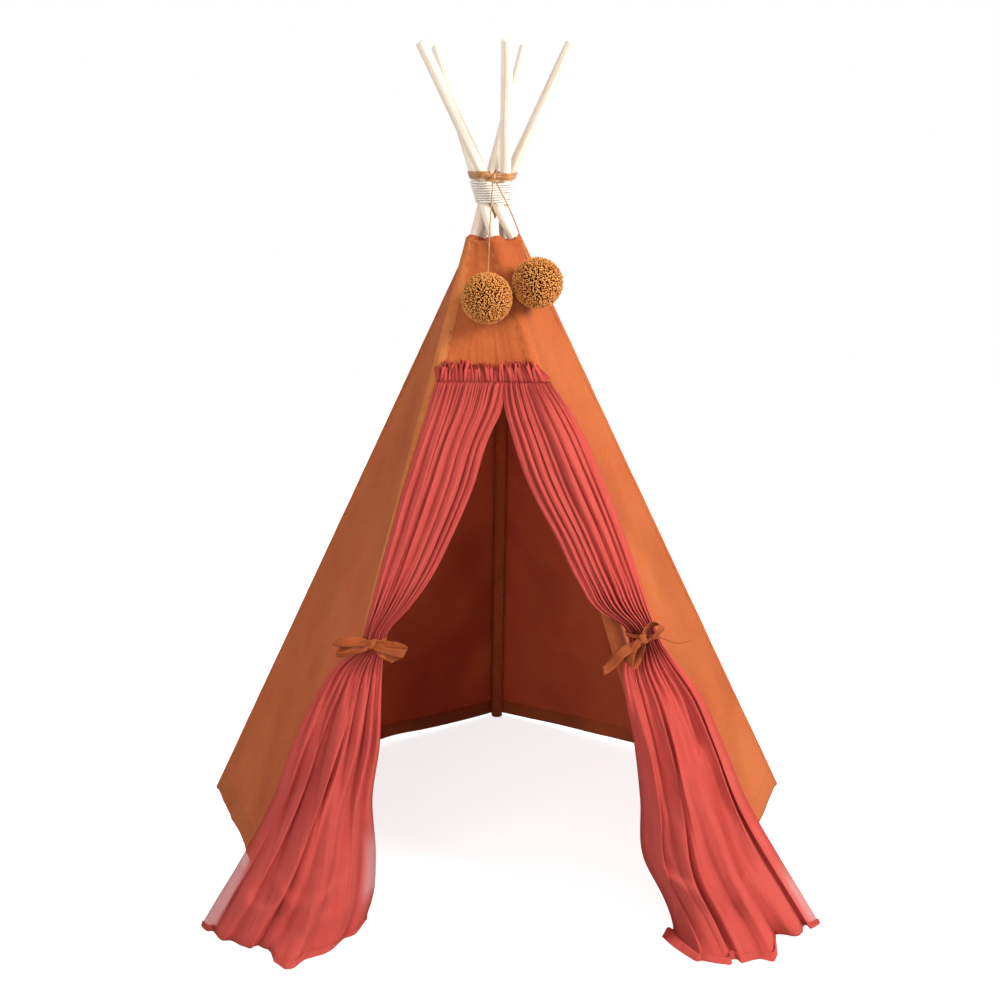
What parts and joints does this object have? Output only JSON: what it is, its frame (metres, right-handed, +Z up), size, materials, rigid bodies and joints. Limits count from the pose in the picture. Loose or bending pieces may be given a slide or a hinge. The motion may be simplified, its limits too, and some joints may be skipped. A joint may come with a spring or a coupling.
{
  "type": "kids teepee",
  "caption": "Free-standing kids teepee: lashed wooden poles in a sewn canvas cover, with gathered, tied-back door curtains and yarn pom-poms. It folds like an umbrella.",
  "frame": {"origin": "on the floor, under the middle of the whole object's box", "axes": "+Z up, +Y towards the back pole, -Y out of the doorway, +X to the right of someone who faces the doorway"},
  "size_m": [1.2754, 1.2439, 1.6229],
  "materials": {
    "pale_pine": "sanded pale pine, unvarnished",
    "ferrule_metal": "plain drawn tube",
    "rust_canvas": "plain-weave cotton canvas, rust orange, matt",
    "coral_muslin": "light open-weave cotton, coral red, matt, lets light through",
    "rust_ribbon": "flat cotton ribbon, matt",
    "cream_rope": "twisted cotton rope, matt",
    "ochre_suede": "flat suede lace, matt",
    "ochre_yarn": "cut wool yarn, matt"
  },
  "bodies": {
    "lashing": {"lashing_rope": "cream_rope", "suede_lace": "ochre_suede", "lace_knot": "ochre_suede"},
    "back_pole": {"back_pole_lower": "pale_pine", "back_pole_upper": "pale_pine", "back_ferrule": "ferrule_metal", "back_pole_sleeve": "rust_canvas"},
    "left_pole": {"left_pole_lower": "pale_pine", "left_pole_upper": "pale_pine", "left_ferrule": "ferrule_metal", "left_pole_sleeve": "rust_canvas"},
    "front_left_pole": {"front_left_pole_lower": "pale_pine", "front_left_pole_upper": "pale_pine", "front_left_ferrule": "ferrule_metal", "front_left_pole_sleeve": "rust_canvas"},
    "front_right_pole": {"front_right_pole_lower": "pale_pine", "front_right_pole_upper": "pale_pine", "front_right_ferrule": "ferrule_metal", "front_right_pole_sleeve": "rust_canvas"},
    "right_pole": {"right_pole_lower": "pale_pine", "right_pole_upper": "pale_pine", "right_ferrule": "ferrule_metal", "right_pole_sleeve": "rust_canvas"},
    "back_left_cover": {"back_left_panel": "rust_canvas", "back_left_hem": "rust_canvas"},
    "left_cover": {"left_panel": "rust_canvas", "left_hem": "rust_canvas"},
    "front_cover": {"front_panel": "rust_canvas", "front_hem": "rust_canvas", "gathering_tape": "coral_muslin", "curtain_ruffle": "coral_muslin", "left_curtain": "coral_muslin", "right_curtain": "coral_muslin", "left_tie_band": "rust_ribbon", "left_tie_bow": "rust_ribbon", "right_tie_band": "rust_ribbon", "right_tie_bow": "rust_ribbon"},
    "right_cover": {"right_panel": "rust_canvas", "right_hem": "rust_canvas"},
    "back_right_cover": {"back_right_panel": "rust_canvas", "back_right_hem": "rust_canvas"},
    "front_pompom": {"front_pompom": "ochre_yarn", "front_pompom_cord": "ochre_suede"},
    "corner_pompom": {"corner_pompom": "ochre_yarn", "corner_pompom_cord": "ochre_suede"}
  },
  "joints": [
    {"name": "back_pole_fold", "type": "hinge", "parent": "lashing", "child": "back_pole", "pos_m": [0.02249, -0.04787, 1.315], "axis": [-0.9994, -0.0343, 0], "range_deg": [0, 17]},
    {"name": "left_pole_fold", "type": "hinge", "parent": "lashing", "child": "left_pole", "pos_m": [0.00621, -0.02702, 1.315], "axis": [-0.2762, -0.9611, 0], "range_deg": [0, 17]},
    {"name": "front_left_pole_fold", "type": "hinge", "parent": "lashing", "child": "front_left_pole", "pos_m": [-0.01865, -0.03605, 1.315], "axis": [0.8287, -0.5596, 0], "range_deg": [0, 17]},
    {"name": "front_right_pole_fold", "type": "hinge", "parent": "lashing", "child": "front_right_pole", "pos_m": [-0.01774, -0.06249, 1.315], "axis": [0.7883, 0.6152, 0], "range_deg": [0, 17]},
    {"name": "right_pole_fold", "type": "hinge", "parent": "lashing", "child": "right_pole", "pos_m": [0.00768, -0.06979, 1.315], "axis": [-0.3415, 0.9399, 0], "range_deg": [0, 17]},
    {"name": "back_left_cover_fold", "type": "hinge", "parent": "lashing", "child": "back_left_cover", "pos_m": [0.01435, -0.03745, 1.315], "axis": [-0.7883, -0.6152, 0], "range_deg": [0, 14.31], "deforming": ["back_left_panel", "back_left_hem"]},
    {"name": "left_cover_fold", "type": "hinge", "parent": "lashing", "child": "left_cover", "pos_m": [-0.00622, -0.03154, 1.315], "axis": [0.3415, -0.9399, 0], "range_deg": [0, 14.31], "deforming": ["left_panel", "left_hem"]},
    {"name": "front_cover_fold", "type": "hinge", "parent": "lashing", "child": "front_cover", "pos_m": [-0.01819, -0.04927, 1.315], "axis": [0.9994, 0.0343, 0], "range_deg": [0, 14.31], "deforming": ["front_panel", "front_hem", "gathering_tape", "curtain_ruffle", "left_curtain", "right_curtain", "left_tie_band", "left_tie_bow", "right_tie_band", "right_tie_bow"]},
    {"name": "right_cover_fold", "type": "hinge", "parent": "lashing", "child": "right_cover", "pos_m": [-0.00503, -0.06614, 1.315], "axis": [0.2762, 0.9611, 0], "range_deg": [0, 14.31], "deforming": ["right_panel", "right_hem"]},
    {"name": "back_right_cover_fold", "type": "hinge", "parent": "lashing", "child": "back_right_cover", "pos_m": [0.01509, -0.05883, 1.315], "axis": [-0.8287, 0.5596, 0], "range_deg": [0, 14.31], "deforming": ["back_right_panel", "back_right_hem"]},
    {"name": "front_pompom_swing", "type": "hinge", "parent": "lashing", "child": "front_pompom", "pos_m": [0, -0.1006, 1.369], "axis": [-0.9888, 0.1489, 0], "range_deg": [0, 75]},
    {"name": "corner_pompom_swing", "type": "hinge", "parent": "lashing", "child": "corner_pompom", "pos_m": [0, -0.1006, 1.369], "axis": [-0.5662, -0.8243, 0], "range_deg": [0, 75]}
  ],
  "couplings": [
    {"joint": "left_pole_fold", "follows": "back_pole_fold", "ratio": 1},
    {"joint": "front_left_pole_fold", "follows": "back_pole_fold", "ratio": 1},
    {"joint": "front_right_pole_fold", "follows": "back_pole_fold", "ratio": 1},
    {"joint": "right_pole_fold", "follows": "back_pole_fold", "ratio": 1},
    {"joint": "back_left_cover_fold", "follows": "back_pole_fold", "ratio": 0.83855},
    {"joint": "left_cover_fold", "follows": "back_pole_fold", "ratio": 0.83855},
    {"joint": "front_cover_fold", "follows": "back_pole_fold", "ratio": 0.83855},
    {"joint": "right_cover_fold", "follows": "back_pole_fold", "ratio": 0.83855},
    {"joint": "back_right_cover_fold", "follows": "back_pole_fold", "ratio": 0.83855}
  ]
}
